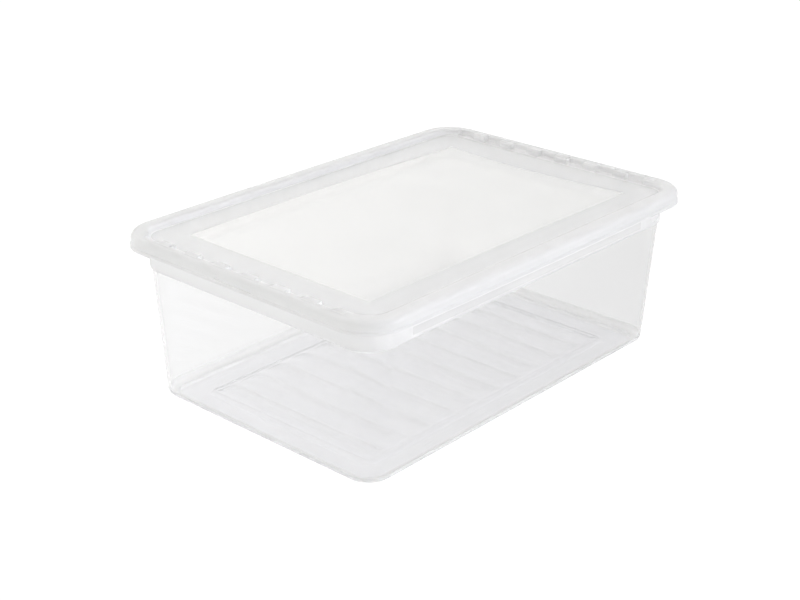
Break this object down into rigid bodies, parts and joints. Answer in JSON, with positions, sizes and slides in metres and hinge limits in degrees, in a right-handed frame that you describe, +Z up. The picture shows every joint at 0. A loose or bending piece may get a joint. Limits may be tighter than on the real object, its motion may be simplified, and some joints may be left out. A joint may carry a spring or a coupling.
{
  "type": "plastic storage box",
  "caption": "Low rectangular translucent plastic storage box with tapered walls, a stepped collar and a lift-off lid with a stacking recess.",
  "frame": {"origin": "on the ground under the middle of the box", "axes": "+X along the box, +Y across it, +Z up"},
  "size_m": [0.39, 0.267, 0.138],
  "materials": {
    "tub_polypropylene": "translucent injection-moulded polypropylene, clear walls with a finely frosted collar and flange",
    "lid_polypropylene": "translucent injection-moulded polypropylene, frosted rim and border round a clear window"
  },
  "bodies": {
    "tub": {"tub": "tub_polypropylene"},
    "lid": {"lid": "lid_polypropylene"}
  },
  "joints": [
    {"name": "lid_lift", "type": "slide", "parent": "tub", "child": "lid", "axis": [0, 0, 1], "range_m": [0, 0.2]}
  ]
}
